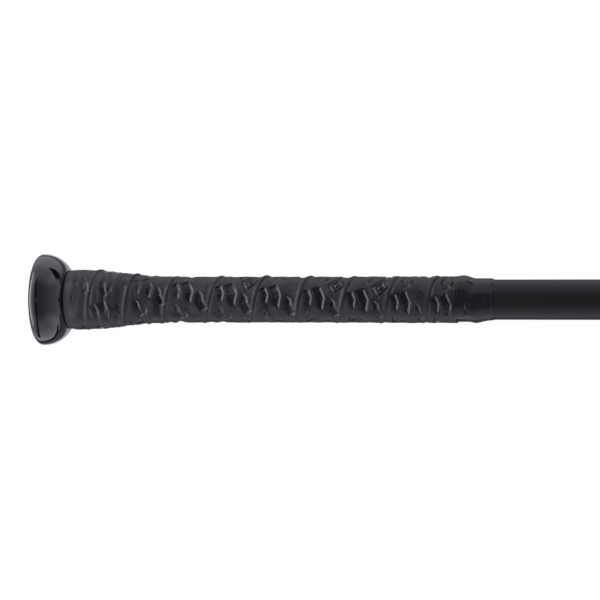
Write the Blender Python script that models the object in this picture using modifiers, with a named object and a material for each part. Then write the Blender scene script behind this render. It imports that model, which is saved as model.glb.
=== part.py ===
"""A two-piece baseball bat, 32 inches long, as an assembly of separate bonded pieces.

The bat lies along +X: the centre of the knob's butt face is the origin and the end cap is at the
far end. Every turned piece is a half-profile in (radius, station) revolved by a Screw modifier,
where a station is a distance along the bat's axis, measured from the butt face. All pieces hang
from one empty whose local +Z is the bat's axis. Lengths are in metres.
"""
import math

import bmesh
import bpy

MM = 0.001
INCH = 0.0254

# Driving dimensions
BAT_LENGTH = 32 * INCH
BARREL_RADIUS = 2.625 * INCH / 2
HANDLE_RADIUS = 11.34 * MM
HANDLE_WALL = 2.3 * MM
KNOB_RADIUS = 26.45 * MM
BARREL_WALL = 2.4 * MM
GAP = 0.3 * MM

# Knob
BUTT_FACE_RADIUS = 23.9 * MM
RIM_STATION = 3.0 * MM
FLANK_RADIUS = 16.8 * MM
FLANK_END = 17.6 * MM
SHOULDER = 18.0 * MM
SHOULDER_RADIUS = 17.2 * MM
SPIGOT_END = 45.0 * MM
KNOB_BORE_RADIUS = 7.0 * MM
KNOB_BORE_BOTTOM = 7.0 * MM
BADGE_RADIUS = 16.7 * MM
BADGE_THICKNESS = 0.8 * MM
WEIGHT_LENGTH = 18.0 * MM
PLUG_LENGTH = 16.0 * MM

# Handle tube: flared next to the knob, straight under the hands, coned inside the barrel
FLARE_END = 87.0 * MM
FLARE_HEIGHT = 3.8 * MM
CONE_START = 330.0 * MM
COLLAR_START = 356.0 * MM
CONE_END = 432.0 * MM
CONE_HEIGHT = 3.6 * MM
TUBE_PLUG_LENGTH = 14.0 * MM

# Grip: one strip wound as a left-handed helix, and the vinyl tape over its end
GRIP_START = 18.6 * MM
GRIP_END = 248.0 * MM
GRIP_THICKNESS = 1.5 * MM
GRIP_PITCH = 24.5 * MM
STRIP_GAP = 0.5 * MM
STRIP_TIP = 4.0 * MM
TAPE_START = 243.0 * MM
TAPE_END = 265.0 * MM
TAPE_THICKNESS = 0.4 * MM

# Barrel
SHELL_START = 366.0 * MM
SHELL_START_RADIUS = 16.9 * MM
SHELL_START_SLOPE = 0.06
TAPER_END = 602.0 * MM
SHELL_END = 806.0 * MM
SLEEVE_START = 370.0 * MM
SLEEVE_END = 430.0 * MM
INNER_START = 612.0 * MM
INNER_END = 780.0 * MM
INNER_WALL = 2.0 * MM
RING_STATION = 694.0 * MM
RING_WIDTH = 12.0 * MM
RING_DEPTH = 5.0 * MM

# End cap
CAP_FACE_RADIUS = 28.5 * MM
CAP_SKIRT_START = 788.0 * MM
CAP_SKIRT_WALL = 2.6 * MM
CAP_WEB_START = 808.0 * MM
CAP_WEIGHT_RADIUS = 21.0 * MM
CAP_WEIGHT_LENGTH = 9.0 * MM

# Facets: their flats touch the true circle, and one of them faces down
FACETS = 24
FLAT_FACTOR = 1 / math.cos(math.pi / FACETS)

COLLECTION_NAME = "baseball_bat"


def clear_scene():
    for obj in list(bpy.data.objects):
        bpy.data.objects.remove(obj, do_unlink=True)


def make_collection(name):
    collection = bpy.data.collections.new(name)
    bpy.context.scene.collection.children.link(collection)
    return collection


def make_axis_empty(collection):
    """An empty whose local +Z lies along world +X, the axis of the bat."""
    axis = bpy.data.objects.new("bat_axis", None)
    axis.rotation_euler = (0, math.pi / 2, 0)
    collection.objects.link(axis)
    return axis


def make_material(name, colour, roughness, metallic=0.0):
    material = bpy.data.materials.new(name)
    material.use_nodes = True
    shader = material.node_tree.nodes["Principled BSDF"]
    shader.inputs["Base Color"].default_value = (*colour, 1)
    shader.inputs["Roughness"].default_value = roughness
    shader.inputs["Metallic"].default_value = metallic
    return material


# --- Outlines -------------------------------------------------------------------------------

def arc(centre, radii, start, end, steps):
    """Points of an elliptical arc in (radius, station). Angles are in degrees from +radius."""
    points = []
    for step in range(steps + 1):
        angle = math.radians(start + (end - start) * step / steps)
        points.append((centre[0] + radii[0] * math.cos(angle),
                       centre[1] + radii[1] * math.sin(angle)))
    return points


def sample(radius_at, start, end, steps):
    """Points (radius, station) of the curve radius_at between two stations."""
    stations = [start + (end - start) * step / steps for step in range(steps + 1)]
    return [(radius_at(station), station) for station in stations]


def tube_radius(station):
    """Outer radius of the handle tube."""
    radius = HANDLE_RADIUS
    if station < FLARE_END:
        left = min(1.0, (FLARE_END - station) / (FLARE_END - GRIP_START))
        radius += FLARE_HEIGHT * (1 - math.cos(math.pi * left)) / 2
    if station > CONE_START:
        along = (station - CONE_START) / (CONE_END - CONE_START)
        radius += CONE_HEIGHT * along ** 1.2
    return radius


def tube_bore(station):
    return tube_radius(station) - HANDLE_WALL


def shell_radius(station):
    """Outer radius of the barrel: a cubic from the joint to the full barrel."""
    if station >= TAPER_END:
        return BARREL_RADIUS
    span = TAPER_END - SHELL_START
    t = max(0.0, (station - SHELL_START) / span)
    start_weight = 2 * t**3 - 3 * t**2 + 1
    slope_weight = t**3 - 2 * t**2 + t
    end_weight = 3 * t**2 - 2 * t**3
    return (start_weight * SHELL_START_RADIUS
            + slope_weight * span * SHELL_START_SLOPE
            + end_weight * BARREL_RADIUS)


def shell_bore(station):
    return shell_radius(station) - BARREL_WALL


# --- Solids ---------------------------------------------------------------------------------

def add_object(name, mesh, material, collection, axis):
    mesh.materials.append(material)
    mesh.shade_smooth()
    mesh.set_sharp_from_angle(angle=math.radians(35))
    obj = bpy.data.objects.new(name, mesh)
    obj.parent = axis
    collection.objects.link(obj)
    return obj


def turned(name, outline, material, collection, axis, closed=False):
    """Revolve an outline of (radius, station) around the bat's axis.

    The outline runs from the far end to the butt end along the outer side. A closed outline
    goes on along the inner side and joins its own start, which makes a ring or a tube.
    """
    mesh = bpy.data.meshes.new(name)
    builder = bmesh.new()
    verts = [builder.verts.new((radius * FLAT_FACTOR, 0, station)) for radius, station in outline]
    for first, second in zip(verts, verts[1:]):
        builder.edges.new((first, second))
    if closed:
        builder.edges.new((verts[-1], verts[0]))
    builder.to_mesh(mesh)
    builder.free()
    obj = add_object(name, mesh, material, collection, axis)
    obj.rotation_euler = (0, 0, math.pi / FACETS)
    screw = obj.modifiers.new("Screw", "SCREW")
    screw.steps = FACETS
    screw.render_steps = FACETS
    screw.use_merge_vertices = True
    screw.merge_threshold = 0.00001
    return obj


def tube_piece(name, outer, inner, material, collection, axis):
    """A turned tube from two lists of (radius, station), both given from butt to far end."""
    outline = list(reversed(outer)) + inner
    return turned(name, outline, material, collection, axis, closed=True)


def disc_piece(name, radius, start, end, bevel, material, collection, axis):
    """A turned solid cylinder with bevelled edges."""
    outline = [
        (0, end),
        (radius - bevel, end),
        (radius, end - bevel),
        (radius, start + bevel),
        (radius - bevel, start),
        (0, start),
    ]
    return turned(name, outline, material, collection, axis)


# --- Knob -----------------------------------------------------------------------------------

def make_knob(collection, axis):
    """Gloss moulding: butt face with a badge recess, round rim, flank and hollow spigot."""
    material = make_material("knob_gloss_black", (0.012, 0.012, 0.014), 0.08)
    recess_floor = BADGE_THICKNESS + GAP
    flank_centre = (KNOB_RADIUS - FLANK_RADIUS, RIM_STATION)
    flank_stop = math.degrees(math.asin((FLANK_END - RIM_STATION) / FLANK_RADIUS))
    flank = arc(flank_centre, (FLANK_RADIUS, FLANK_RADIUS), flank_stop, 0, 9)
    rim = arc((BUTT_FACE_RADIUS, RIM_STATION),
              (KNOB_RADIUS - BUTT_FACE_RADIUS, RIM_STATION), -15, -90, 5)
    spigot = [(tube_bore(station) - GAP, station)
              for station in (SPIGOT_END, SHOULDER + 12 * MM, SHOULDER)]
    outline = [
        (0, KNOB_BORE_BOTTOM),
        (KNOB_BORE_RADIUS, KNOB_BORE_BOTTOM),
        (KNOB_BORE_RADIUS, SPIGOT_END),
        *spigot,
        (SHOULDER_RADIUS, SHOULDER),
        *flank,
        *rim,
        (BADGE_RADIUS + GAP, 0),
        (BADGE_RADIUS + GAP, recess_floor),
        (0, recess_floor),
    ]
    return turned("knob", outline, material, collection, axis)


def make_knob_badge(collection, axis):
    material = make_material("badge_dark_grey", (0.03, 0.03, 0.032), 0.35)
    return disc_piece("knob_badge", BADGE_RADIUS, 0, BADGE_THICKNESS, 0.15 * MM,
                      material, collection, axis)


def make_knob_weight(collection, axis):
    material = make_material("weight_steel", (0.5, 0.5, 0.5), 0.4, 1.0)
    start = KNOB_BORE_BOTTOM + GAP
    return disc_piece("knob_weight", KNOB_BORE_RADIUS - GAP, start, start + WEIGHT_LENGTH,
                      0.6 * MM, material, collection, axis)


def make_knob_plug(collection, axis):
    material = make_material("plug_foam", (0.05, 0.05, 0.05), 0.9)
    start = KNOB_BORE_BOTTOM + WEIGHT_LENGTH + 3 * GAP
    return disc_piece("knob_plug", KNOB_BORE_RADIUS - GAP, start, start + PLUG_LENGTH,
                      0.6 * MM, material, collection, axis)


# --- Handle ---------------------------------------------------------------------------------

def make_handle_tube(collection, axis):
    material = make_material("handle_satin_black", (0.018, 0.017, 0.018), 0.42)
    start = SHOULDER + GAP
    outer = (sample(tube_radius, start, FLARE_END, 8)
             + sample(tube_radius, CONE_START, CONE_END, 6))
    inner = (sample(tube_bore, start, FLARE_END, 8)
             + sample(tube_bore, CONE_START, CONE_END, 6))
    return tube_piece("handle_tube", outer, inner, material, collection, axis)


def make_tube_plug(collection, axis):
    material = make_material("tube_plug_foam", (0.06, 0.055, 0.05), 0.9)
    start = CONE_END - TUBE_PLUG_LENGTH
    outline = [
        (0, CONE_END),
        (tube_bore(CONE_END) - GAP, CONE_END),
        (tube_bore(start) - GAP, start),
        (0, start),
    ]
    return turned("tube_plug", outline, material, collection, axis)


def strip_section(turn, columns):
    """The strip's edges and the points across its width after this many turns.

    Both ends of the strip are cut square to the bat, so its first and last turns are tapered.
    """
    pitch = GRIP_PITCH
    first_edge = GRIP_START + (turn - 1) * pitch + STRIP_TIP
    low = max(first_edge + STRIP_GAP, GRIP_START)
    high = min(first_edge + pitch, GRIP_END)
    return [low + (high - low) * column / columns for column in range(columns + 1)]


def make_grip_wrap(collection, axis):
    """One strip wound as a left-handed helix, each turn butted against the one before."""
    material = make_material("grip_black", (0.016, 0.016, 0.018), 0.5)
    columns = 2
    turns = (GRIP_END - GRIP_START - 2 * STRIP_TIP) / GRIP_PITCH + 1
    steps = int(turns * FACETS)
    builder = bmesh.new()
    rings = []
    for step in range(steps + 1):
        angle = -2 * math.pi * step / FACETS
        stations = strip_section(step / FACETS, columns)
        ring = []
        for outward in (True, False):
            for station in (stations if outward else reversed(stations)):
                radius = tube_radius(station) + GAP + (GRIP_THICKNESS if outward else 0)
                radius *= FLAT_FACTOR
                point = (radius * math.cos(angle), radius * math.sin(angle), station)
                ring.append(builder.verts.new(point))
        rings.append(ring)
    size = len(rings[0])
    for before, after in zip(rings, rings[1:]):
        for i in range(size):
            j = (i + 1) % size
            builder.faces.new((before[i], before[j], after[j], after[i]))
    builder.faces.new(rings[0])
    builder.faces.new(list(reversed(rings[-1])))
    bmesh.ops.recalc_face_normals(builder, faces=builder.faces)
    mesh = bpy.data.meshes.new("grip_wrap")
    builder.to_mesh(mesh)
    builder.free()
    obj = add_object("grip_wrap", mesh, material, collection, axis)
    obj.rotation_euler = (0, 0, math.pi / FACETS)
    return obj


def make_finishing_tape(collection, axis):
    """Vinyl tape that steps down from the end of the grip to the bare tube."""
    material = make_material("tape_vinyl_black", (0.014, 0.014, 0.016), 0.3)
    over_grip = HANDLE_RADIUS + GAP + GRIP_THICKNESS + GAP
    over_tube = HANDLE_RADIUS + GAP
    inner = [
        (over_grip, TAPE_START),
        (over_grip, GRIP_END + 1 * MM),
        (over_tube + 0.6 * MM, GRIP_END + 5 * MM),
        (over_tube, GRIP_END + 9 * MM),
        (over_tube, TAPE_END),
    ]
    outer = [(radius + TAPE_THICKNESS, station) for radius, station in inner]
    return tube_piece("finishing_tape", outer, inner, material, collection, axis)


# --- Joint between handle and barrel ----------------------------------------------------------

def make_joint_collar(collection, axis):
    """Rubber ring that leads from the tube up to the mouth of the barrel."""
    material = make_material("collar_rubber", (0.02, 0.02, 0.02), 0.6)
    end = SHELL_START - GAP
    outer = [
        (tube_radius(COLLAR_START) + GAP + 0.8 * MM, COLLAR_START),
        (SHELL_START_RADIUS - 0.9 * MM, end - 3.5 * MM),
        (SHELL_START_RADIUS, end - 2.5 * MM),
        (SHELL_START_RADIUS, end),
    ]
    inner = [(tube_radius(station) + GAP, station) for _, station in outer]
    return tube_piece("joint_collar", outer, inner, material, collection, axis)


def make_joint_sleeve(collection, axis):
    material = make_material("sleeve_elastomer", (0.03, 0.03, 0.03), 0.7)
    outer = [(radius - GAP, station)
             for radius, station in sample(shell_bore, SLEEVE_START, SLEEVE_END, 5)]
    inner = [(radius + GAP, station)
             for radius, station in sample(tube_radius, SLEEVE_START, SLEEVE_END, 5)]
    return tube_piece("joint_sleeve", outer, inner, material, collection, axis)


# --- Barrel -----------------------------------------------------------------------------------

def make_barrel_shell(collection, axis):
    material = make_material("barrel_satin_black", (0.02, 0.019, 0.02), 0.35)
    taper = sample(shell_radius, SHELL_START, TAPER_END, 14)
    bore = sample(shell_bore, SHELL_START, TAPER_END, 14)
    edge = 0.8 * MM
    outer = taper + [
        (BARREL_RADIUS, SHELL_END - edge),
        (BARREL_RADIUS - edge, SHELL_END),
    ]
    inner = bore + [(BARREL_RADIUS - BARREL_WALL, SHELL_END)]
    return tube_piece("barrel_shell", outer, inner, material, collection, axis)


def make_inner_barrel(collection, axis):
    material = make_material("inner_barrel_carbon", (0.02, 0.02, 0.022), 0.5)
    radius = BARREL_RADIUS - BARREL_WALL - GAP
    outer = [(radius, INNER_START), (radius, INNER_END)]
    inner = [(radius - INNER_WALL, INNER_START), (radius - INNER_WALL, INNER_END)]
    return tube_piece("inner_barrel", outer, inner, material, collection, axis)


def make_stiffening_ring(collection, axis):
    material = make_material("ring_aluminium", (0.6, 0.6, 0.6), 0.35, 1.0)
    radius = BARREL_RADIUS - BARREL_WALL - INNER_WALL - 2 * GAP
    end = RING_STATION + RING_WIDTH
    outer = [(radius, RING_STATION), (radius, end)]
    inner = [(radius - RING_DEPTH, RING_STATION), (radius - RING_DEPTH, end)]
    return tube_piece("stiffening_ring", outer, inner, material, collection, axis)


def make_end_cap(collection, axis):
    """Moulded cap: flat outer face, rounded edge, flange on the shell's end, skirt inside it."""
    material = make_material("end_cap_black", (0.015, 0.015, 0.016), 0.45)
    flange = BARREL_RADIUS - 0.4 * MM
    seat = SHELL_END + GAP
    skirt = BARREL_RADIUS - BARREL_WALL - GAP
    skirt_bore = skirt - CAP_SKIRT_WALL
    edge = arc((CAP_FACE_RADIUS, seat + 1.0 * MM),
               (flange - CAP_FACE_RADIUS, BAT_LENGTH - seat - 1.0 * MM), 90, 0, 5)
    outline = [
        (0, BAT_LENGTH),
        *edge,
        (flange, seat),
        (skirt, seat),
        (skirt, CAP_SKIRT_START + 1 * MM),
        (skirt - 1 * MM, CAP_SKIRT_START),
        (skirt_bore, CAP_SKIRT_START),
        (skirt_bore, CAP_WEB_START),
        (0, CAP_WEB_START),
    ]
    return turned("end_cap", outline, material, collection, axis)


def make_end_cap_weight(collection, axis):
    material = make_material("cap_weight_resin", (0.3, 0.24, 0.16), 0.5)
    end = CAP_WEB_START - GAP
    return disc_piece("end_cap_weight", CAP_WEIGHT_RADIUS, end - CAP_WEIGHT_LENGTH, end,
                      1 * MM, material, collection, axis)


def build_bat():
    clear_scene()
    collection = make_collection(COLLECTION_NAME)
    axis = make_axis_empty(collection)
    for make_piece in (
        make_knob, make_knob_badge, make_knob_weight, make_knob_plug,
        make_handle_tube, make_tube_plug, make_grip_wrap, make_finishing_tape,
        make_joint_collar, make_joint_sleeve,
        make_barrel_shell, make_inner_barrel, make_stiffening_ring,
        make_end_cap, make_end_cap_weight,
    ):
        make_piece(collection, axis)


build_bat()
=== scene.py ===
"""The looks of a two-piece baseball bat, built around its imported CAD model.

The bat lies along +X with the centre of its butt face at the origin. Shapes are worked out in
millimetres, as stations along the bat and radii from its axis, and mesh_object() turns them
into metres. A point's clock angle runs from the underside (0) by the front (-Y) to the top.
"""

import math

import bmesh
import bpy
import numpy as np
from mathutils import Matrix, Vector


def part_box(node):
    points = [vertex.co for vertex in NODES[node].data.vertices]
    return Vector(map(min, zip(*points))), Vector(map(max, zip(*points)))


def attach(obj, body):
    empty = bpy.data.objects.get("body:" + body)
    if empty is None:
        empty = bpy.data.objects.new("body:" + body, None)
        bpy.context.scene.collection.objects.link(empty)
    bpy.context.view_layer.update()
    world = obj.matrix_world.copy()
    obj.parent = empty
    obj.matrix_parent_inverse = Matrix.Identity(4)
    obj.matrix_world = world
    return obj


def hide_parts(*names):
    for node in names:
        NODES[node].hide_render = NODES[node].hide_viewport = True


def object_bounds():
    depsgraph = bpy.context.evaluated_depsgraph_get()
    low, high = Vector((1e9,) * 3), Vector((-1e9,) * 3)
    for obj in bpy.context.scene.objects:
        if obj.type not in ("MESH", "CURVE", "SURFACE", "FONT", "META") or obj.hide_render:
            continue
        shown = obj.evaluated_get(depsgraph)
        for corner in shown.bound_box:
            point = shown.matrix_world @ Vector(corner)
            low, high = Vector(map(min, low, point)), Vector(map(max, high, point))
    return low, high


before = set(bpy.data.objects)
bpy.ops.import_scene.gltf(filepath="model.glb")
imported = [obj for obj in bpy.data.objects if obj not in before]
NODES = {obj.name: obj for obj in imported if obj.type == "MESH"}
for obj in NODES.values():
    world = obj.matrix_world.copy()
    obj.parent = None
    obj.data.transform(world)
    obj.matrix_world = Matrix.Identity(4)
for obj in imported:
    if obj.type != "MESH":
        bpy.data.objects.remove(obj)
cad_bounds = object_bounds()

MM = 0.001


def node_span(node):
    """First station, last station and outer radius of a CAD node, in millimetres."""
    low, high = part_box(node)
    return low.x / MM, high.x / MM, high.z / MM


_, SPIGOT_END, KNOB_RADIUS = node_span("knob")
_, BADGE_THICKNESS, BADGE_RADIUS = node_span("knob_badge")
TUBE_START, TUBE_END, _ = node_span("handle_tube")
GRIP_START, GRIP_END, _ = node_span("grip_wrap")
TAPE_START, TAPE_END, _ = node_span("finishing_tape")
COLLAR_START, COLLAR_END, COLLAR_RADIUS = node_span("joint_collar")
SHELL_START, SHELL_END, BARREL_RADIUS = node_span("barrel_shell")
CAP_START, BAT_LENGTH, CAP_RADIUS = node_span("end_cap")

# Grip strip, in millimetres. The lists have a value for each turn, from the knob on: where its
# outer edge lies on the top, how far that edge stands up, and how much its rhombuses show.
# GRIP_CELL is the size of a cell of its mesh.
LAP_STATIONS = (38.2, 60.2, 83.6, 109.8, 136.0, 161.2, 186.6, 211.7, 234.2)
LAP_RIDGES = (0.65, 0.85, 0.6, 0.5, 0.85, 0.85, 0.6, 0.25, 0.4)
NESTS_SHOWN = (0, 0, 0, 0.2, 1, 0, 1, 1, 0, 1)
LAP_WOBBLE = 1.4
LAP_RAMP = 2.1
LAP_GROOVE = 0.12
STRIP_THICKNESS = 1.82
STRIP_PITCH = 25.0
OVERLAP = 3.0
EDGE_ROUND = 1.2
UNDERSIDE_BEND = 1.2
FIRST_TURN = -0.8
LAST_TURN = 9.5
GRIP_CELL = 0.555

# Sunk pattern of the grip, and the painted shade around its motifs
EMBOSS_DEPTH = 0.75
EMBOSS_WALL = 0.75
EMBOSS_REPEAT = 27.1
EMBOSS_ORIGIN_TURN = 6.75
HALO_SHADE = 0.5
HALO_REACH = 3.2

# The room's light on the bat, and the white that the camera sees instead of room and floor
ROOM_GLOW = 0.18
CAMERA_WHITE = 1.0
LIGHT_TINT = (0.96, 0.91, 1.04)


# --- Curves ---------------------------------------------------------------------------------

def smoothstep(t):
    t = np.clip(t, 0.0, 1.0)
    return t * t * (3 - 2 * t)


def hump(place, centre, width):
    """1 at the centre, fading to 0 on both sides of it."""
    return np.exp(-((place - centre) / width) ** 2)


def arc(centre, radii, start, end, steps):
    """Points (station, radius) of an elliptical arc. Angles are in degrees from +radius."""
    angles = np.radians(np.linspace(start, end, steps + 1))
    return [(centre[0] + radii[0] * math.sin(a), centre[1] + radii[1] * math.cos(a))
            for a in angles]


def cad_outline(node, inside=False):
    """A smooth curve radius(station) through a turned CAD node's outer or inner outline.

    The flats of the CAD rings touch the true circle, so a vertex is a little outside it.
    The slopes are harmonic means, which keeps the curve from overshooting its points.
    """
    flats = 24
    points = np.array([vertex.co for vertex in NODES[node].data.vertices]) / MM
    stations = np.round(points[:, 0], 2)
    radii = np.hypot(points[:, 1], points[:, 2]) * math.cos(math.pi / flats)
    rings = np.unique(stations)
    pick = np.min if inside else np.max
    outline = np.array([pick(radii[stations == ring]) for ring in rings])
    secants = np.diff(outline) / np.diff(rings)
    before, after = np.append(secants[0], secants), np.append(secants, secants[-1])
    level = before * after <= 0
    slopes = np.where(level, 0.0, 2 * before * after / np.where(level, 1.0, before + after))

    def radius(station):
        station = np.clip(station, rings[0], rings[-1])
        i = np.clip(np.searchsorted(rings, station) - 1, 0, len(rings) - 2)
        width = rings[i + 1] - rings[i]
        t = (station - rings[i]) / width
        return ((2 * t**3 - 3 * t**2 + 1) * outline[i]
                + (t**3 - 2 * t**2 + t) * width * slopes[i]
                + (3 * t**2 - 2 * t**3) * outline[i + 1]
                + (t**3 - t**2) * width * slopes[i + 1])

    return radius


tube_radius = cad_outline("handle_tube")
tube_bore = cad_outline("handle_tube", inside=True)
shell_radius = cad_outline("barrel_shell")
shell_bore = cad_outline("barrel_shell", inside=True)


def sample(radius_at, start, end, spacing):
    """Points (station, radius) of a curve between two stations."""
    steps = max(1, int(abs(end - start) / spacing))
    return [(station, float(radius_at(station))) for station in np.linspace(start, end, steps + 1)]


def around(stations, radii, angles):
    """Points in millimetres from stations, radii and clock angles."""
    return np.stack([
        stations * np.ones_like(angles),
        -radii * np.sin(angles),
        -radii * np.cos(angles),
    ], axis=-1)


# --- Meshes ---------------------------------------------------------------------------------

def mesh_object(name, points, faces, material, sharp_angle=40):
    """A mesh object from points in millimetres, shaded smooth except at sharp edges."""
    mesh = bpy.data.meshes.new(name)
    mesh.from_pydata((np.asarray(points) * MM).tolist(), [], faces)
    builder = bmesh.new()
    builder.from_mesh(mesh)
    bmesh.ops.recalc_face_normals(builder, faces=builder.faces)
    builder.to_mesh(mesh)
    builder.free()
    mesh.shade_smooth()
    mesh.set_sharp_from_angle(angle=math.radians(sharp_angle))
    mesh.materials.append(material)
    obj = bpy.data.objects.new(name, mesh)
    bpy.context.scene.collection.objects.link(obj)
    return obj


def stand_in_for(obj, node):
    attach(obj, "root")
    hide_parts(node)
    return obj


def turned_piece(name, outline, material, closed=False, segments=160):
    """Revolve an outline of (station, radius) around the bat.

    It may start and end on the axis. A closed outline's last point is joined to its first.
    """
    points, rings, faces = [], [], []
    angles = np.linspace(0, 2 * math.pi, segments, endpoint=False)
    for station, radius in outline:
        count = 1 if radius < 1e-6 else segments
        rings.append(list(range(len(points), len(points) + count)))
        points.extend(around(station, radius, angles[:count]).tolist())
    pairs = list(zip(rings, rings[1:]))
    if closed:
        pairs.append((rings[-1], rings[0]))
    for first, second in pairs:
        for i in range(segments):
            j = (i + 1) % segments
            corners = [first[i % len(first)], first[j % len(first)],
                       second[j % len(second)], second[i % len(second)]]
            faces.append(list(dict.fromkeys(corners)))
    return mesh_object(name, points, faces, material)


def sleeve_piece(name, stations, outer, inner, material, segments=360):
    """A closed sleeve whose outer and inner radii are functions of (station, clock angle)."""
    angles = np.linspace(0, 2 * math.pi, segments, endpoint=False)
    grid_s, grid_a = np.meshgrid(stations, angles, indexing="ij")
    top = around(grid_s, outer(grid_s, grid_a), grid_a)
    under = around(grid_s, inner(grid_s, grid_a), grid_a)[::-1]
    points = np.concatenate([top, under]).reshape(-1, 3)
    rows = 2 * len(stations)
    faces = []
    for row in range(rows):
        this, following = row * segments, (row + 1) % rows * segments
        for i in range(segments):
            j = (i + 1) % segments
            faces.append((this + i, this + j, following + j, following + i))
    return mesh_object(name, points, faces, material)


# --- Materials ------------------------------------------------------------------------------

class Shader:
    """A Principled material and short ways to feed its sockets from procedural textures."""

    def __init__(self, name):
        self.material = bpy.data.materials.new(name)
        self.material.use_nodes = True
        self.tree = self.material.node_tree
        self.principled = self.tree.nodes["Principled BSDF"]
        self.coordinates = self.node("ShaderNodeTexCoord").outputs["Object"]

    def node(self, kind, **settings):
        made = self.tree.nodes.new(kind)
        for key, value in settings.items():
            setattr(made, key, value)
        return made

    def link(self, source, target):
        self.tree.links.new(source, target)

    def set(self, **values):
        for socket, value in values.items():
            self.principled.inputs[socket.replace("_", " ")].default_value = value

    def stretched(self, scale):
        """Object coordinates scaled by (x, y, z)."""
        mapping = self.node("ShaderNodeMapping")
        mapping.inputs["Scale"].default_value = scale
        self.link(self.coordinates, mapping.inputs["Vector"])
        return mapping.outputs["Vector"]

    def noise(self, scale, detail=4.0, roughness=0.5, vector=None):
        texture = self.node("ShaderNodeTexNoise")
        texture.inputs["Scale"].default_value = scale
        texture.inputs["Detail"].default_value = detail
        texture.inputs["Roughness"].default_value = roughness
        self.link(vector or self.coordinates, texture.inputs["Vector"])
        return texture.outputs["Fac"]

    def cells(self, scale, feature="F1", vector=None):
        texture = self.node("ShaderNodeTexVoronoi", feature=feature)
        texture.inputs["Scale"].default_value = scale
        self.link(vector or self.coordinates, texture.inputs["Vector"])
        return texture.outputs["Distance"]

    def remap(self, source, low, high, to_low, to_high):
        ramp = self.node("ShaderNodeMapRange")
        self.link(source, ramp.inputs["Value"])
        for socket, value in zip(("From Min", "From Max", "To Min", "To Max"),
                                 (low, high, to_low, to_high)):
            ramp.inputs[socket].default_value = value
        return ramp.outputs["Result"]

    def add(self, first, second):
        total = self.node("ShaderNodeMath", operation="ADD")
        self.link(first, total.inputs[0])
        self.link(second, total.inputs[1])
        return total.outputs["Value"]

    def colour_between(self, source, first, second):
        """Base colour that goes from the first to the second as the source goes from 0 to 1."""
        first_socket, second_socket, result_socket = 6, 7, 2
        mix = self.node("ShaderNodeMix", data_type="RGBA")
        self.link(source, mix.inputs["Factor"])
        mix.inputs[first_socket].default_value = (*first, 1)
        mix.inputs[second_socket].default_value = (*second, 1)
        self.link(mix.outputs[result_socket], self.principled.inputs["Base Color"])

    def roughness_from(self, source):
        self.link(source, self.principled.inputs["Roughness"])

    def bump(self, heights):
        """Bump from a list of (height socket, depth in millimetres), coarse to fine."""
        normal = None
        for height, depth in heights:
            bump = self.node("ShaderNodeBump")
            bump.inputs["Distance"].default_value = depth * MM
            self.link(height, bump.inputs["Height"])
            if normal is not None:
                self.link(normal, bump.inputs["Normal"])
            normal = bump.outputs["Normal"]
        self.link(normal, self.principled.inputs["Normal"])


def gloss_knob_material():
    shader = Shader("gloss_black_moulding")
    shader.set(Specular_IOR_Level=0.5, Coat_Weight=1.0, Coat_Roughness=0.03)
    haze = shader.noise(90, 5)
    shader.colour_between(haze, (0.006, 0.006, 0.008), (0.010, 0.010, 0.012))
    shader.roughness_from(shader.remap(shader.noise(220, 6), 0.35, 0.7, 0.06, 0.16))
    shader.bump([(shader.noise(60, 2), 0.06), (shader.noise(700, 3), 0.004)])
    return shader.material


def grip_material():
    """Matt face and a smoother sunk pattern, told apart by the mesh's "sunk" value, which also
    paints shade: a darker colour in the recesses and beside them.
    """
    shader = Shader("embossed_polyurethane")
    shader.set(Specular_IOR_Level=0.5)
    sunk = shader.node("ShaderNodeAttribute", attribute_name="sunk").outputs["Fac"]
    wear = shader.remap(shader.noise(90, 5, 0.6), 0.3, 0.7, -0.22, 0.22)
    shade = shader.add(sunk, wear)
    # Painted shade: the recesses and the halo beside them take the darker colour; the wear noise is
    # the strip's own uneven tone.
    shader.colour_between(shade, (0.0185, 0.0173, 0.0194), (0.003, 0.0029, 0.0038))
    shader.roughness_from(shader.remap(shade, 0.1, 0.4, 0.43, 0.20))
    grain = shader.cells(1500)
    shader.bump([(shader.noise(260, 3), 0.05), (grain, 0.035), (shader.noise(3000, 2), 0.01)])
    return shader.material


def satin_paint_material(name, dark, light, roughness):
    shader = Shader(name)
    shader.set(Specular_IOR_Level=0.5)
    shader.colour_between(shader.noise(35, 4), dark, light)
    shader.roughness_from(shader.remap(shader.noise(400, 6), 0.3, 0.7,
                                       roughness - 0.04, roughness + 0.05))
    shader.bump([(shader.noise(2200, 3), 0.006)])
    return shader.material


def vinyl_material():
    shader = Shader("stretched_vinyl")
    shader.set(Specular_IOR_Level=0.55)
    shader.colour_between(shader.noise(80, 4), (0.004, 0.004, 0.005), (0.008, 0.008, 0.010))
    shader.roughness_from(shader.remap(shader.noise(130, 3), 0.42, 0.60, 0.08, 0.34))
    stretch = shader.stretched((1.0, 0.25, 0.25))
    shader.bump([(shader.noise(420, 4, vector=stretch), 0.12), (shader.noise(2500, 2), 0.008)])
    return shader.material


def rubber_material(name, dark, light, roughness):
    shader = Shader(name)
    shader.set(Specular_IOR_Level=0.35)
    shader.colour_between(shader.noise(120, 5), dark, light)
    shader.roughness_from(shader.remap(shader.noise(500, 5), 0.3, 0.7,
                                       roughness - 0.07, roughness + 0.07))
    shader.bump([(shader.noise(900, 4), 0.03), (shader.cells(2600), 0.012)])
    return shader.material


def moulded_plastic_material(name, dark, light, roughness):
    """Spark-eroded mould texture: fine, even and matt."""
    shader = Shader(name)
    shader.set(Specular_IOR_Level=0.45)
    shader.colour_between(shader.noise(60, 4), dark, light)
    shader.roughness_from(shader.remap(shader.noise(250, 5), 0.3, 0.7,
                                       roughness - 0.05, roughness + 0.06))
    shader.bump([(shader.cells(1800), 0.009), (shader.noise(3200, 2), 0.004)])
    return shader.material


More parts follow.
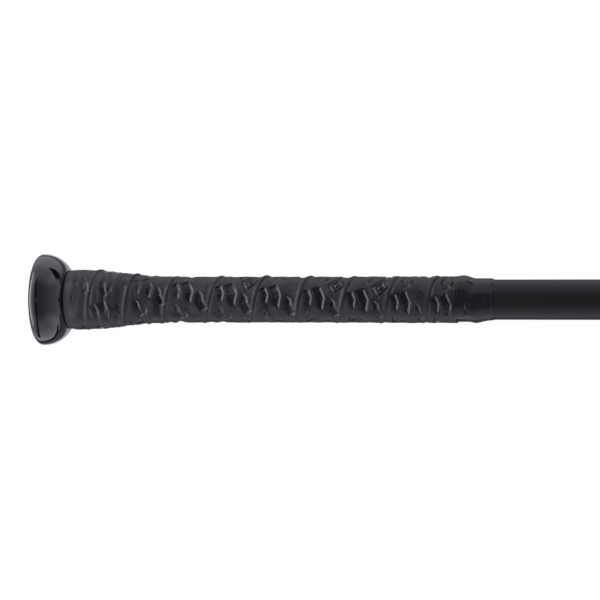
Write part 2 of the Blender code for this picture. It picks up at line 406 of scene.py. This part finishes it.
def metal_material(name, colour, roughness, lathe_lines=0.01):
    """Turned metal with fine tool marks that run around the bat's axis."""
    shader = Shader(name)
    shader.set(Metallic=1.0)
    dark = tuple(0.85 * channel for channel in colour)
    shader.colour_between(shader.noise(150, 4), dark, colour)
    shader.roughness_from(shader.remap(shader.noise(300, 4), 0.3, 0.7,
                                       roughness - 0.05, roughness + 0.08))
    lines = shader.noise(3000, 2, vector=shader.stretched((1.0, 0.02, 0.02)))
    shader.bump([(lines, lathe_lines)])
    return shader.material


def carbon_material():
    """Bare carbon fibre: two crossed sets of bands around and along the tube."""
    shader = Shader("bare_carbon")
    shader.set(Specular_IOR_Level=0.5, Coat_Weight=0.3)
    weave = shader.node("ShaderNodeTexChecker")
    weave.inputs["Scale"].default_value = 420
    shader.link(shader.coordinates, weave.inputs["Vector"])
    shader.colour_between(weave.outputs["Fac"], (0.012, 0.012, 0.014), (0.03, 0.03, 0.032))
    shader.roughness_from(shader.remap(shader.noise(300, 4), 0.3, 0.7, 0.35, 0.5))
    shader.bump([(weave.outputs["Fac"], 0.02)])
    return shader.material


# --- Knob -----------------------------------------------------------------------------------

def make_knob():
    """Gloss moulding with a badge recess, round rim, convex flank and hollow spigot."""
    butt_face, rim_station, flank_radius, flank_end = 23.9, 3.0, 16.8, 17.94
    bore_radius, bore_bottom, gap = 7.0, 7.0, 0.3
    recess_radius, recess_floor = BADGE_RADIUS + gap, BADGE_THICKNESS + gap
    shoulder, edge = TUBE_START - gap, 0.5
    flank_centre = (rim_station, KNOB_RADIUS - flank_radius)
    flank_stop = math.degrees(math.asin((flank_end - rim_station) / flank_radius))
    shoulder_radius = arc(flank_centre, (flank_radius - edge,) * 2, 0, flank_stop, 1)[-1][1]
    outline = [
        (recess_floor, 0.0),
        (recess_floor, recess_radius - 0.2),
        (recess_floor - 0.1, recess_radius),
        (0.25, recess_radius),
        (0.0, recess_radius + 0.25),
        *np.linspace((0.0, recess_radius + 1.0), (0.0, butt_face - 0.2), 4).tolist(),
        *arc((rim_station, butt_face), (rim_station, KNOB_RADIUS - butt_face), -90, 0, 14),
        *arc(flank_centre, (flank_radius, flank_radius), 3, flank_stop, 36),
        *arc((shoulder - edge, shoulder_radius), (edge, edge), flank_stop + 5, 90, 5),
        (shoulder, float(tube_bore(shoulder)) - gap),
        *sample(lambda station: tube_bore(station) - gap, shoulder + 0.5, SPIGOT_END, 3),
        (SPIGOT_END, bore_radius),
        (bore_bottom, bore_radius),
        (bore_bottom, 0.0),
    ]
    piece = turned_piece("knob_moulding", outline, gloss_knob_material(), segments=256)
    return stand_in_for(piece, "knob")


def make_knob_badge():
    """Plain disc with a bevelled edge and two shallow turned rings."""
    radius, thickness = BADGE_RADIUS, BADGE_THICKNESS
    rings = []
    for ring_radius in (0.82 * radius, 0.45 * radius):
        for offset, depth in ((-0.6, 0.0), (-0.25, 0.12), (0.25, 0.12), (0.6, 0.0)):
            rings.append((depth, ring_radius - offset))
    outline = [
        (thickness, 0.0),
        (thickness, radius - 0.15),
        (thickness - 0.15, radius),
        (0.3, radius),
        *arc((0.3, radius - 0.3), (0.3, 0.3), 0, -90, 4),
        *rings,
        (0.0, 0.0),
    ]
    material = moulded_plastic_material("badge_plastic", (0.022, 0.022, 0.024),
                                        (0.034, 0.034, 0.037), 0.34)
    return stand_in_for(turned_piece("knob_disc", outline, material), "knob_badge")


# --- Handle ---------------------------------------------------------------------------------

def make_handle_tube():
    """Painted tube: flared under the grip, straight, then coned inside the barrel."""
    edge = 0.3
    outer = sample(tube_radius, TUBE_START + edge, TUBE_END - edge, 2.0)
    inner = sample(tube_bore, TUBE_END, TUBE_START, 4.0)
    outline = [
        (TUBE_START, float(tube_radius(TUBE_START)) - edge),
        *outer,
        (TUBE_END, float(tube_radius(TUBE_END)) - edge),
        *inner,
    ]
    material = satin_paint_material("satin_black_handle", (0.0014, 0.0012, 0.0014),
                                    (0.0024, 0.0021, 0.0024), 0.40)
    piece = turned_piece("handle_body", outline, material, closed=True)
    return stand_in_for(piece, "handle_tube")


def lap_edge(turn):
    """Station of the strip's outer edge after this many turns. Whole turns are on the top."""
    first_pitch, second_pitch, last_pitch = 20.0, 20.5, 23.5
    first, last = LAP_STATIONS[0], LAP_STATIONS[-1]
    stations = [first - first_pitch - second_pitch, first - second_pitch, *LAP_STATIONS,
                last + last_pitch, last + 2 * last_pitch]
    turns = np.arange(-2, len(LAP_STATIONS) + 2)
    wobble = LAP_WOBBLE * (1 - np.cos(2 * math.pi * turn))
    return np.interp(turn, turns, stations) + wobble


def polygon_distance(across, along, corners):
    """Signed distance-like field of a convex polygon given counter-clockwise; inside is < 0."""
    field = np.full(np.broadcast(across, along).shape, -np.inf)
    for (x1, y1), (x2, y2) in zip(corners, corners[1:] + corners[:1]):
        length = math.hypot(x2 - x1, y2 - y1)
        normal = ((y2 - y1) / length, -(x2 - x1) / length)
        field = np.maximum(field, (across - x1) * normal[0] + (along - y1) * normal[1])
    return field


def rhombus(half_width, half_height):
    return [(-half_width, 0), (0, -half_height), (half_width, 0), (0, half_height)]


def blade_motif(across, along):
    """A bent blade: a slanted arm that turns into an upright one."""
    slanted = polygon_distance(across, along, [(-5.6, 4.8), (-2.2, -0.4), (1.6, 0.8), (-2.0, 6.4)])
    upright = polygon_distance(across, along,
                               [(-2.2, -0.4), (-1.2, -3.6), (1.6, -5.4), (1.6, 0.8)])
    return np.minimum(slanted, upright)


def nest_motif(across, along):
    """Two rhombus outlines, one inside the other."""
    inset, half_line, crispness = 0.5, 0.4, 1.4
    outer = polygon_distance(across, along, rhombus(5.4, 6.8))
    inner = polygon_distance(across, along, rhombus(2.6, 3.4))
    to_line = np.minimum(np.abs(outer + inset), np.abs(inner + inset))
    return crispness * (to_line - half_line)


def dart_motif(across, along):
    return polygon_distance(across, along, rhombus(1.3, 2.2))


def emboss(across, along, nests):
    """Distance in millimetres outside the nearest motif of the sunk pattern; inside is < 0.

    across runs from minus one pitch to 0 at the strip's outer edge; along is the distance along
    the strip. nests runs from 0, where the nested rhombuses are left out, to 1. A motif of
    negative size is turned half round.
    """
    half, nest_line_depth = EMBOSS_REPEAT / 2, 1.5
    layout = (
        (blade_motif, -20.4, -0.6, 0.8), (blade_motif, -13.6, -1.2, 1.15),
        (blade_motif, -19.0, half, -0.9), (dart_motif, -13.4, half - 1.5, 1.0),
        (nest_motif, -6.6, 7.4, 1.0),
        (blade_motif, -7.0, 7.4 + half, -1.0),
    )
    field = np.full(across.shape, np.inf)
    for motif, centre_across, centre_along, size in layout:
        local_along = (along - centre_along + half) % EMBOSS_REPEAT - half
        local = abs(size) * motif((across - centre_across) / size, local_along / size)
        if motif is nest_motif:
            local = local + nest_line_depth * (1 - nests)
        field = np.minimum(field, local)
    return field


def slow_waves(along, across):
    """Gentle unevenness of a hand-wound strip, a tenth or two of a millimetre."""
    return (0.07 * np.sin(along / 7.3 + 0.9 * np.sin(across / 5.1))
            + 0.05 * np.sin(along / 3.1 + across / 4.3 + 1.7)
            + 0.08 * np.sin(across / 1.7 - along / 11.0 + 0.8 * np.sin(along / 5.3)))


def lap_creases(along, gap_to_edge):
    """Short slanting stretch creases beside the strip's outer edge."""
    wave = np.sin(along / 1.35 + 0.8 * gap_to_edge + 2.1 * np.sin(along / 9.7))
    fade = np.clip(1 - gap_to_edge / 3.5, 0, 1) * np.clip(0.5 + np.sin(along / 13.1), 0, 1)
    return 0.08 * wave * fade


def starting_wrinkles(stations, turn):
    """Low ridges that run around the handle where the first turns are stretched over the flare."""
    waves = np.sin(stations / 0.68 + 0.9 * np.sin(2 * math.pi * turn))
    return 0.11 * hump(stations, 42.0, 10.0) * waves


def grip_columns(turn):
    """Stations across the strip for each row: tucked edge, visible face, rounded outer edge."""
    least_width, least_tucked, least_seen = 3.0, 0.4, 2.4
    seam = lap_edge(turn - 1)
    high = np.minimum(lap_edge(turn), GRIP_END)
    low = np.clip(seam - OVERLAP, GRIP_START, high - least_width)
    seam = np.clip(seam, low + least_tucked, high - least_seen)
    face_cells = int(STRIP_PITCH / GRIP_CELL)
    tucked = np.linspace(0, 1, 4)[:-1]
    face = np.linspace(0, 1, face_cells + 1)[:-1]
    rounding = np.sin(np.linspace(0, math.pi / 2, 6))
    stations = [low + (seam - low) * t for t in tucked]
    stations += [seam + (high - EDGE_ROUND - seam) * t for t in face]
    stations += [high - EDGE_ROUND * (1 - t) for t in rounding]
    return np.stack(stations, axis=1)


def tape_build_up(stations, angles):
    """Height over the tube of what lies under the vinyl: the grip's squeezed, slanting end.

    On the top it swells a little and falls away. Underneath it falls away early, with a second
    swelling where the vinyl is bunched up.
    """
    pressed_grip = 1.8
    above = (pressed_grip + 0.35 * hump(stations, 247.6, 2.4)
             - 1.35 * smoothstep((stations - 249.2) / 6.0))
    below = (pressed_grip - 0.85 * smoothstep((stations - 243.2) / 2.6)
             + 0.65 * hump(stations, 254.8, 2.8)
             - 0.75 * smoothstep((stations - 256.5) / 6.5))
    share_of_top = (1 - np.cos(angles)) / 2
    return below + (above - below) * share_of_top


def lap_height(stations, turn, along, gap_to_edge, past_seam):
    """Height of the plain strip: doubled near the knob, raised at its edge, grooved past a seam."""
    lower_layer, layer_end = 0.5, 44.0
    doubled = (smoothstep((stations - GRIP_START) / 6.0)
               * (1 - smoothstep((stations - layer_end) / 10.0)))
    height = STRIP_THICKNESS + lower_layer * doubled
    ridge = np.interp(turn, np.arange(len(LAP_RIDGES)), LAP_RIDGES)
    ridge = ridge * (0.62 + 0.24 * np.cos(2 * math.pi * turn) + 0.16 * np.sin(along / 4.7))
    height = height + ridge * smoothstep(1 - (gap_to_edge - EDGE_ROUND) / LAP_RAMP)
    height = height - (ridge + 0.1) * smoothstep(1 - gap_to_edge / EDGE_ROUND)
    deeper_from_turn, groove_width = 6.4, 2.5
    groove = LAP_GROOVE * (1 + 2 * smoothstep((turn - deeper_from_turn) / 0.8))
    height = height - groove * np.clip(1 - np.maximum(past_seam, 0) / groove_width, 0, 1) ** 2
    tuck_slope = 0.3
    return height - tuck_slope * np.clip(-past_seam, 0, OVERLAP)


def pattern_strength(stations):
    """0 at the start of the strip, then a faint pattern, then all of it past the flare."""
    plain_length, faint, faint_end = 4.0, 0.55, 40.0
    begun = smoothstep((stations - GRIP_START - plain_length) / 3.0)
    return begun * (faint + (1 - faint) * smoothstep((stations - faint_end) / 35.0))


def shade_halo(across, along, outside):
    """Painted shade in blotches on the face beside the motifs, which also makes it glossier, from 0
    to its full strength.
    """
    blotch = 0.5 + 0.5 * np.sin(along / 2.9 + across / 1.9 + 1.3 * np.sin(along / 4.1))
    return HALO_SHADE * smoothstep(1 - outside / HALO_REACH) * blotch


def strip_face(stations, turn, along):
    """Radius of the strip's outer face, and a value from 0 to 1: how far it is sunk there, or the
    painted shade beside a motif where that is greater.
    """
    edge, seam = lap_edge(turn), lap_edge(turn - 1)
    gap_to_edge, past_seam = edge - stations, stations - seam
    across = -gap_to_edge / (edge - seam) * STRIP_PITCH
    nests = np.interp(turn, np.arange(len(NESTS_SHOWN)), NESTS_SHOWN)
    outside = emboss(across, along, nests)
    seen = past_seam > 0
    shown = seen * pattern_strength(stations)
    sunk = shown * np.clip(0.5 - outside / EMBOSS_WALL, 0.0, 1.0)
    height = lap_height(stations, turn, along, gap_to_edge, past_seam) - EMBOSS_DEPTH * sunk
    height = height + seen * (slow_waves(along, across) + lap_creases(along, gap_to_edge)
                              + starting_wrinkles(stations, turn))
    squeezed = np.minimum(height, tape_build_up(stations, 2 * math.pi * (turn + 0.5)))
    taped = smoothstep((stations - TAPE_START) / 0.8)
    radius = tube_radius(stations) + height + (squeezed - height) * taped
    # Painted shade: this value darkens the grip's colour in the recesses and in the halo beside
    # them.
    return radius, np.maximum(sunk, shown * shade_halo(across, along, outside))


def strip_underside(stations, turn):
    """Radius of the strip's underside, which rides up over the tucked edge of the next turn."""
    clearance, tucked_layer, lift = 0.06, 0.62, 0.9
    gap_to_edge = lap_edge(turn) - stations
    over = smoothstep((OVERLAP + UNDERSIDE_BEND - gap_to_edge) / UNDERSIDE_BEND)
    climb = np.clip(1 - gap_to_edge / OVERLAP, 0, 1)
    return tube_radius(stations) + clearance + tucked_layer * over + lift * climb


def face_triangles(radii, ring_size):
    """Two triangles a cell, split along the diagonal whose ends differ least in height."""
    rows, columns = radii.shape
    one_diagonal = np.abs(radii[:-1, :-1] - radii[1:, 1:])
    other_diagonal = np.abs(radii[:-1, 1:] - radii[1:, :-1])
    split = (one_diagonal <= other_diagonal)[..., None]
    row, column = np.mgrid[0:rows - 1, 0:columns - 1]
    a = row * ring_size + column
    b, c, d = a + 1, a + ring_size + 1, a + ring_size
    first = np.where(split, np.stack([a, b, c], -1), np.stack([a, b, d], -1))
    second = np.where(split, np.stack([a, c, d], -1), np.stack([b, c, d], -1))
    return np.concatenate([first.reshape(-1, 3), second.reshape(-1, 3)]).tolist()


def strip_rows():
    """Turns made, and distance along the strip, at each row of the grip's mesh."""
    fine = np.linspace(FIRST_TURN, LAST_TURN, 4000)
    middle = np.clip(lap_edge(fine) - STRIP_PITCH / 2, GRIP_START, GRIP_END)
    step_length = 2 * math.pi * (tube_radius(middle) + STRIP_THICKNESS) * np.gradient(fine)
    length = np.cumsum(step_length)
    rows = int(length[-1] / GRIP_CELL)
    row_length = np.linspace(length[0], length[-1], rows)
    turn = np.interp(row_length, length, fine)
    along = row_length - np.interp(EMBOSS_ORIGIN_TURN, fine, length)
    return turn[:, None], along[:, None]


def underside_columns(face_stations):
    """Stations across the underside for each row, from the outer edge back to the tucked one."""
    low, high = face_stations[:, :1], face_stations[:, -1:]
    climb_from = np.maximum(high - OVERLAP, low + 1.0)
    flat_from = np.maximum(high - OVERLAP - UNDERSIDE_BEND, low + 0.6)
    return np.concatenate([high - 0.05, climb_from, flat_from, low + 0.05], axis=1)


def strip_faces(face_radii, ring_size):
    """Triangles on the strip's outer face, quads on its underside, and its two ends."""
    rows, columns = face_radii.shape
    faces = face_triangles(face_radii, ring_size)
    row = np.arange(rows - 1)[:, None] * ring_size
    here = np.arange(columns - 1, ring_size)
    there = np.append(here[1:], 0)
    a, b = row + here, row + there
    faces += np.stack([a, b, b + ring_size, a + ring_size], -1).reshape(-1, 4).tolist()
    faces.append(list(range(ring_size)))
    faces.append(list(range((rows - 1) * ring_size, rows * ring_size)))
    return faces


def make_grip():
    """One embossed strip wound around the handle, each turn lapped over the next."""
    turn, along = strip_rows()
    angles = 2 * math.pi * (turn + 0.5)
    face_stations = grip_columns(turn[:, 0])
    face_radii, sunk = strip_face(face_stations, turn, along)
    under_stations = underside_columns(face_stations)
    under_radii = strip_underside(under_stations, turn)
    face = around(face_stations, face_radii, angles * np.ones_like(face_stations))
    under = around(under_stations, under_radii, angles * np.ones_like(under_stations))
    ring = np.concatenate([face, under], axis=1)
    faces = strip_faces(face_radii, ring.shape[1])
    piece = mesh_object("grip_strip", ring.reshape(-1, 3), faces, grip_material(), sharp_angle=75)
    # The sunk value goes to the material, which paints shade with it: darker recesses and a darker
    # halo beside them.
    sunk_of_ring = np.concatenate([sunk, np.zeros(under_stations.shape)], axis=1)
    attribute = piece.data.attributes.new("sunk", "FLOAT", "POINT")
    attribute.data.foreach_set("value", sunk_of_ring.ravel())
    return stand_in_for(piece, "grip_wrap")


def fold(stations, angles, start, end, width):
    """1 on a line between two points (station, clock degrees), fading to 0 on both sides."""
    reach = tube_radius(TAPE_END) + STRIP_THICKNESS
    first = np.array((start[0], math.radians(start[1]) * reach))
    run = np.array((end[0], math.radians(end[1]) * reach)) - first
    across, up = stations - first[0], angles * reach - first[1]
    t = np.clip((across * run[0] + up * run[1]) / (run @ run), 0, 1)
    distance = np.hypot(across - t * run[0], up - t * run[1])
    return hump(distance, 0, width)


def tape_wrinkles(stations, angles):
    """Stretch folds around the handle, a soft swelling and two ridges at the front."""
    along, steepest = stations - TAPE_START, 11.5
    folds = np.sin(along / 0.95 + 1.6 * np.sin(2 * angles + 0.7) + 0.8 * np.sin(5 * angles))
    step = hump(along, steepest, 4.0)
    slow = 0.05 * np.sin(3 * angles + along / 3.0) + 0.03 * np.sin(7 * angles - along / 2.2)
    height = 0.05 * folds * step + slow * step
    for rise, start, end, width in ((0.42, (254.5, 103), (263.5, 103), 2.6),
                                    (0.38, (250.6, 80), (251.4, 48), 1.7),
                                    (0.35, (245.0, 150), (244.8, 98), 1.6)):
        height = height + rise * fold(stations, angles, start, end, width)
    return height


def tape_top(stations, angles):
    """Radius of the tape's outer side, with a ragged start and a ragged end of its last layer."""
    under_layer, start_layer, last_layer, thinnest, taper = 0.08, 0.12, 0.10, 0.1, 1.6
    start = TAPE_START + 1.1 + 1.0 * np.sin(angles - 0.9)
    ragged = (0.7 * np.sin(2 * angles + 0.6) + 0.35 * np.sin(5 * angles + 2.0)
              + 0.15 * np.sin(11 * angles))
    end = TAPE_END - 1.3 + 0.9 * ragged
    height = tape_build_up(stations, angles) + under_layer + tape_wrinkles(stations, angles)
    height = height + start_layer * smoothstep((stations - start) / 0.35)
    height = height + last_layer * (1 - smoothstep((stations - end) / 0.5))
    height = height * (1 - 0.6 * smoothstep((stations - TAPE_END + taper) / taper))
    return tube_radius(stations) + np.maximum(height, thinnest)


def tape_underside(stations, angles):
    return tube_radius(stations) + 0.03 * np.ones_like(angles)


def make_finishing_tape():
    """Glossy vinyl tape pulled tight over the end of the grip and down onto the tube."""
    stations = np.linspace(TAPE_START, TAPE_END, 110)
    piece = sleeve_piece("vinyl_band", stations, tape_top, tape_underside, vinyl_material())
    return stand_in_for(piece, "finishing_tape")


# --- Joint, barrel and cap --------------------------------------------------------------------

def make_joint_collar():
    """Soft rubber ring with a rounded nose and a lip against the barrel."""
    clearance, nose_round, lip_round, bevel = 0.05, 0.5, 0.9, 0.25
    nose = float(tube_radius(COLLAR_START)) + 0.35
    lip = COLLAR_END - 2.6
    outline = [
        *arc((COLLAR_START + nose_round, nose + 0.3), (nose_round, nose_round), -90, 0, 6),
        *np.linspace((COLLAR_START + 1, nose + 0.8), (lip - 1, COLLAR_RADIUS - 1), 8).tolist(),
        *arc((lip, COLLAR_RADIUS - lip_round), (lip_round, lip_round), -70, 0, 6),
        (COLLAR_END - bevel, COLLAR_RADIUS),
        (COLLAR_END, COLLAR_RADIUS - bevel),
        (COLLAR_END, float(tube_radius(COLLAR_END)) + clearance),
        (COLLAR_START, float(tube_radius(COLLAR_START)) + clearance),
    ]
    material = rubber_material("collar_rubber", (0.016, 0.016, 0.017), (0.026, 0.026, 0.027), 0.55)
    piece = turned_piece("collar_ring", outline, material, closed=True)
    return stand_in_for(piece, "joint_collar")


def make_barrel():
    """Painted barrel with a rolled mouth at the joint and at the cap."""
    mouth, rim = 0.7, 0.8
    outline = [
        *arc((SHELL_START + mouth, float(shell_radius(SHELL_START)) - mouth),
             (mouth, mouth), -90, -10, 6),
        *sample(shell_radius, SHELL_START + mouth, SHELL_END - 1.5 * rim, 2.5),
        *arc((SHELL_END - rim, BARREL_RADIUS - rim), (rim, rim), 10, 90, 6),
        *sample(shell_bore, SHELL_END, SHELL_START, 5.0),
    ]
    material = satin_paint_material("satin_black_barrel", (0.004, 0.0036, 0.004),
                                    (0.006, 0.0055, 0.006), 0.38)
    piece = turned_piece("barrel_body", outline, material, closed=True, segments=224)
    return stand_in_for(piece, "barrel_shell")


def make_end_cap():
    """Moulded cap: flat face with a shallow ring groove, rounded edge, flange and skirt."""
    gap, bevel, skirt_wall, web = 0.3, 0.3, 2.6, 808.0
    groove_inside, groove_outside, groove_depth = 19.2, 21.8, 0.6
    seat, skirt = SHELL_END + gap, float(shell_bore(SHELL_END)) - gap
    face_radius, edge_depth = 28.5, BAT_LENGTH - seat - 1.0
    outline = [
        (BAT_LENGTH, 0.0),
        *np.linspace((BAT_LENGTH, 2.0), (BAT_LENGTH, groove_inside), 6).tolist(),
        (BAT_LENGTH - groove_depth, groove_inside + groove_depth),
        (BAT_LENGTH - groove_depth, groove_outside - groove_depth),
        (BAT_LENGTH, groove_outside),
        *np.linspace((BAT_LENGTH, 22.5), (BAT_LENGTH, face_radius - bevel), 4).tolist(),
        *arc((seat + 1.0, face_radius), (edge_depth, CAP_RADIUS - face_radius), 90, 0, 12),
        (seat + bevel, CAP_RADIUS),
        (seat, CAP_RADIUS - bevel),
        (seat, skirt),
        (CAP_START + 1.0, skirt),
        (CAP_START, skirt - 1.0),
        (CAP_START, skirt - skirt_wall),
        (web, skirt - skirt_wall),
        (web, 0.0),
    ]
    material = moulded_plastic_material("cap_plastic", (0.013, 0.013, 0.014),
                                        (0.021, 0.021, 0.022), 0.42)
    piece = turned_piece("cap_moulding", outline, material, segments=224)
    return stand_in_for(piece, "end_cap")


def dress_hidden_nodes():
    """Materials of the pieces that stay as the CAD made them, inside the bat."""
    foam = rubber_material("closed_cell_foam", (0.04, 0.04, 0.04), (0.07, 0.07, 0.07), 0.85)
    elastomer = rubber_material("joint_elastomer", (0.02, 0.02, 0.02), (0.04, 0.04, 0.04), 0.65)
    resin = moulded_plastic_material("cast_urethane", (0.24, 0.18, 0.11), (0.34, 0.27, 0.18), 0.45)
    materials = {
        "knob_weight": metal_material("turned_steel", (0.52, 0.52, 0.53), 0.32),
        "knob_plug": foam,
        "tube_plug": foam,
        "joint_sleeve": elastomer,
        "inner_barrel": carbon_material(),
        "stiffening_ring": metal_material("turned_aluminium", (0.72, 0.73, 0.74), 0.28),
        "end_cap_weight": resin,
    }
    for node, material in materials.items():
        NODES[node].data.materials.clear()
        NODES[node].data.materials.append(material)


# --- Stage ----------------------------------------------------------------------------------

def white_to_camera(tree, seen_by_bat):
    """Mix a white emitter, which only the camera sees, with the shader that lights the bat."""
    white = tree.nodes.new("ShaderNodeEmission")
    white.inputs["Strength"].default_value = CAMERA_WHITE
    path = tree.nodes.new("ShaderNodeLightPath")
    mix = tree.nodes.new("ShaderNodeMixShader")
    choice, otherwise, to_camera = mix.inputs
    tree.links.new(path.outputs["Is Camera Ray"], choice)
    tree.links.new(seen_by_bat, otherwise)
    tree.links.new(white.outputs["Emission"], to_camera)
    return mix.outputs["Shader"]


def make_floor():
    """A pale table top that the barrel rests on. Only the camera sees it."""
    material = bpy.data.materials.new("pale_table")
    material.use_nodes = True
    tree = material.node_tree
    paper = tree.nodes.new("ShaderNodeEmission")
    tree.links.new(paper.outputs["Emission"], tree.nodes["Material Output"].inputs["Surface"])
    bpy.ops.mesh.primitive_circle_add(vertices=96, radius=30, fill_type="NGON",
                                      location=(0.4, 0, cad_bounds[0].z))
    floor = bpy.context.object
    floor.name = "floor"
    floor.data.materials.append(material)
    floor.visible_diffuse = False
    floor.visible_glossy = False
    floor.visible_shadow = False


def soft_ends(tree, place, brightness):
    """Brightness that fades to nothing towards both ends, where place is 0 and 1."""
    middle, half, even_half = 0.5, 0.5, 0.2
    off_middle = tree.nodes.new("ShaderNodeMath")
    off_middle.operation = "SUBTRACT"
    off_middle.inputs[1].default_value = middle
    distance = tree.nodes.new("ShaderNodeMath")
    distance.operation = "ABSOLUTE"
    fade = tree.nodes.new("ShaderNodeMapRange")
    fade.interpolation_type = "SMOOTHSTEP"
    fade.inputs["From Min"].default_value = half
    fade.inputs["From Max"].default_value = even_half
    product = tree.nodes.new("ShaderNodeMath")
    product.operation = "MULTIPLY"
    tree.links.new(place, off_middle.inputs[0])
    tree.links.new(off_middle.outputs["Value"], distance.inputs[0])
    tree.links.new(distance.outputs["Value"], fade.inputs["Value"])
    tree.links.new(brightness, product.inputs[0])
    tree.links.new(fade.outputs["Result"], product.inputs[1])
    return product.outputs["Value"]


def add_panel(name, centre, turn, width, height, radiance):
    """A softbox at centre, turned by degrees about X, Y and Z from facing down.

    radiance is its brightness at the two ends of its height, and changes evenly between them.
    It fades to nothing at the two ends of its width.
    """
    light = bpy.data.lights.new(name, "AREA")
    light.shape = "RECTANGLE"
    light.size = width
    light.size_y = height
    light.energy = math.pi * width * height
    light.color = LIGHT_TINT
    light.use_nodes = True
    tree = light.node_tree
    place = tree.nodes.new("ShaderNodeNewGeometry")
    axes = tree.nodes.new("ShaderNodeSeparateXYZ")
    ramp = tree.nodes.new("ShaderNodeMapRange")
    ramp.inputs["To Min"].default_value = radiance[0]
    ramp.inputs["To Max"].default_value = radiance[1]
    tree.links.new(place.outputs["Parametric"], axes.inputs["Vector"])
    tree.links.new(axes.outputs["Y"], ramp.inputs["Value"])
    tree.links.new(soft_ends(tree, axes.outputs["X"], ramp.outputs["Result"]),
                   tree.nodes["Emission"].inputs["Strength"])
    panel = bpy.data.objects.new(name, light)
    panel.location = centre
    panel.rotation_euler = [math.radians(angle) for angle in turn]
    panel.visible_camera = False
    bpy.context.scene.collection.objects.link(panel)


def add_black_card(name, one_edge, other_edge):
    """A matt black card between two edges, each a list of points. It draws dark lines in gloss."""
    count = len(one_edge)
    mesh = bpy.data.meshes.new(name)
    faces = [(i, i + 1, count + i + 1, count + i) for i in range(count - 1)]
    mesh.from_pydata(one_edge + other_edge, [], faces)
    material = bpy.data.materials.new(name)
    material.use_nodes = True
    principled = material.node_tree.nodes["Principled BSDF"]
    principled.inputs["Base Color"].default_value = (0, 0, 0, 1)
    principled.inputs["Specular IOR Level"].default_value = 0
    mesh.materials.append(material)
    card = bpy.data.objects.new(name, mesh)
    card.visible_camera = False
    bpy.context.scene.collection.objects.link(card)


def add_upright_card(name, route, half_width):
    """A black card that follows a route of points, with its width along the bat."""
    add_black_card(name, [(x - half_width, y, z) for x, y, z in route],
                   [(x + half_width, y, z) for x, y, z in route])


def add_softboxes():
    """Softboxes over, under, behind and at both sides of the bat."""
    add_panel("over", (0.0, -0.55, 1.10), (0, 0, 0), 4.4, 1.7, (0.0, 0.78))
    add_panel("over_back", (0.0, 0.85, 1.15), (0, 0, 0), 4.4, 1.1, (0.72, 0.4))
    add_panel("under", (0.0, -0.27, -0.95), (0, 180, 0), 4.4, 1.8, (0.0, 0.95))
    add_panel("left", (-0.46, -0.66, 0.05), (90, 90, -55), 3.6, 1.1, (3.1, 0.0))
    add_panel("left_strip", (-0.84, -0.34, 0.0), (90, 0, -68), 0.32, 1.3, (3.1, 3.1))
    add_panel("right", (1.0, -0.35, 0.0), (90, 90, 55), 3.6, 1.8, (0.0, 0.6))
    add_panel("back", (0.4, 1.7, 0.0), (90, 0, 180), 4.0, 1.6, (0.5, 0.5))


def add_black_cards():
    """Cards whose reflections are the dark lines in the knob's gloss."""
    half_width, front, under = 0.055, -0.8, -0.9
    add_upright_card("card_front_high", [(-0.10, front, 1.05), (-0.04, front, 0.5),
                                         (0.01, front, 0.06)], half_width)
    add_upright_card("card_front_low", [(0.01, front, -0.12), (-0.026, front, -0.57),
                                        (-0.05, front, under), (-0.11, -0.2, under),
                                        (-0.2, 0.3, under)], half_width)
    under_edge = [(-0.6, 1.0, under), (0.05, 0.71, under), (0.41, 0.53, under), (1.0, 0.30, under)]
    add_black_card("card_under", under_edge, [(x, y + 0.17, z) for x, y, z in under_edge])
    add_black_card("card_over", [(0.38, 0.06, 1.05), (1.1, 0.02, 1.05), (1.7, 0.0, 1.05)],
                   [(0.38, 0.14, 1.05), (1.1, 0.60, 1.05), (1.7, 0.70, 1.05)])


def make_room():
    """A dim, even room around the bat, which the camera sees as white."""
    world = bpy.data.worlds.new("studio")
    bpy.context.scene.world = world
    world.use_nodes = True
    tree = world.node_tree
    room = tree.nodes["Background"]
    room.inputs["Color"].default_value = (*LIGHT_TINT, 1)
    room.inputs["Strength"].default_value = ROOM_GLOW
    surface = white_to_camera(tree, room.outputs["Background"])
    tree.links.new(surface, tree.nodes["World Output"].inputs["Surface"])


def make_camera():
    """Level camera that looks at the handle from slightly to the barrel's side."""
    azimuth, distance = math.radians(10.27), 1.4147
    target = Vector((0.1538, 0, -0.0002))
    camera = bpy.data.objects.new("camera", bpy.data.cameras.new("camera"))
    bpy.context.scene.collection.objects.link(camera)
    camera.location = target + distance * Vector((math.sin(azimuth), -math.cos(azimuth), 0))
    camera.rotation_euler = (math.pi / 2, 0, azimuth)
    camera.data.sensor_width = 36
    camera.data.lens = 148.7
    camera.data.clip_end = 100
    bpy.context.scene.camera = camera


make_camera()
make_knob()
make_knob_badge()
make_handle_tube()
make_grip()
make_finishing_tape()
make_joint_collar()
make_barrel()
make_end_cap()
dress_hidden_nodes()
make_floor()
add_softboxes()
add_black_cards()
make_room()
bpy.context.scene.view_settings.view_transform = "Standard"
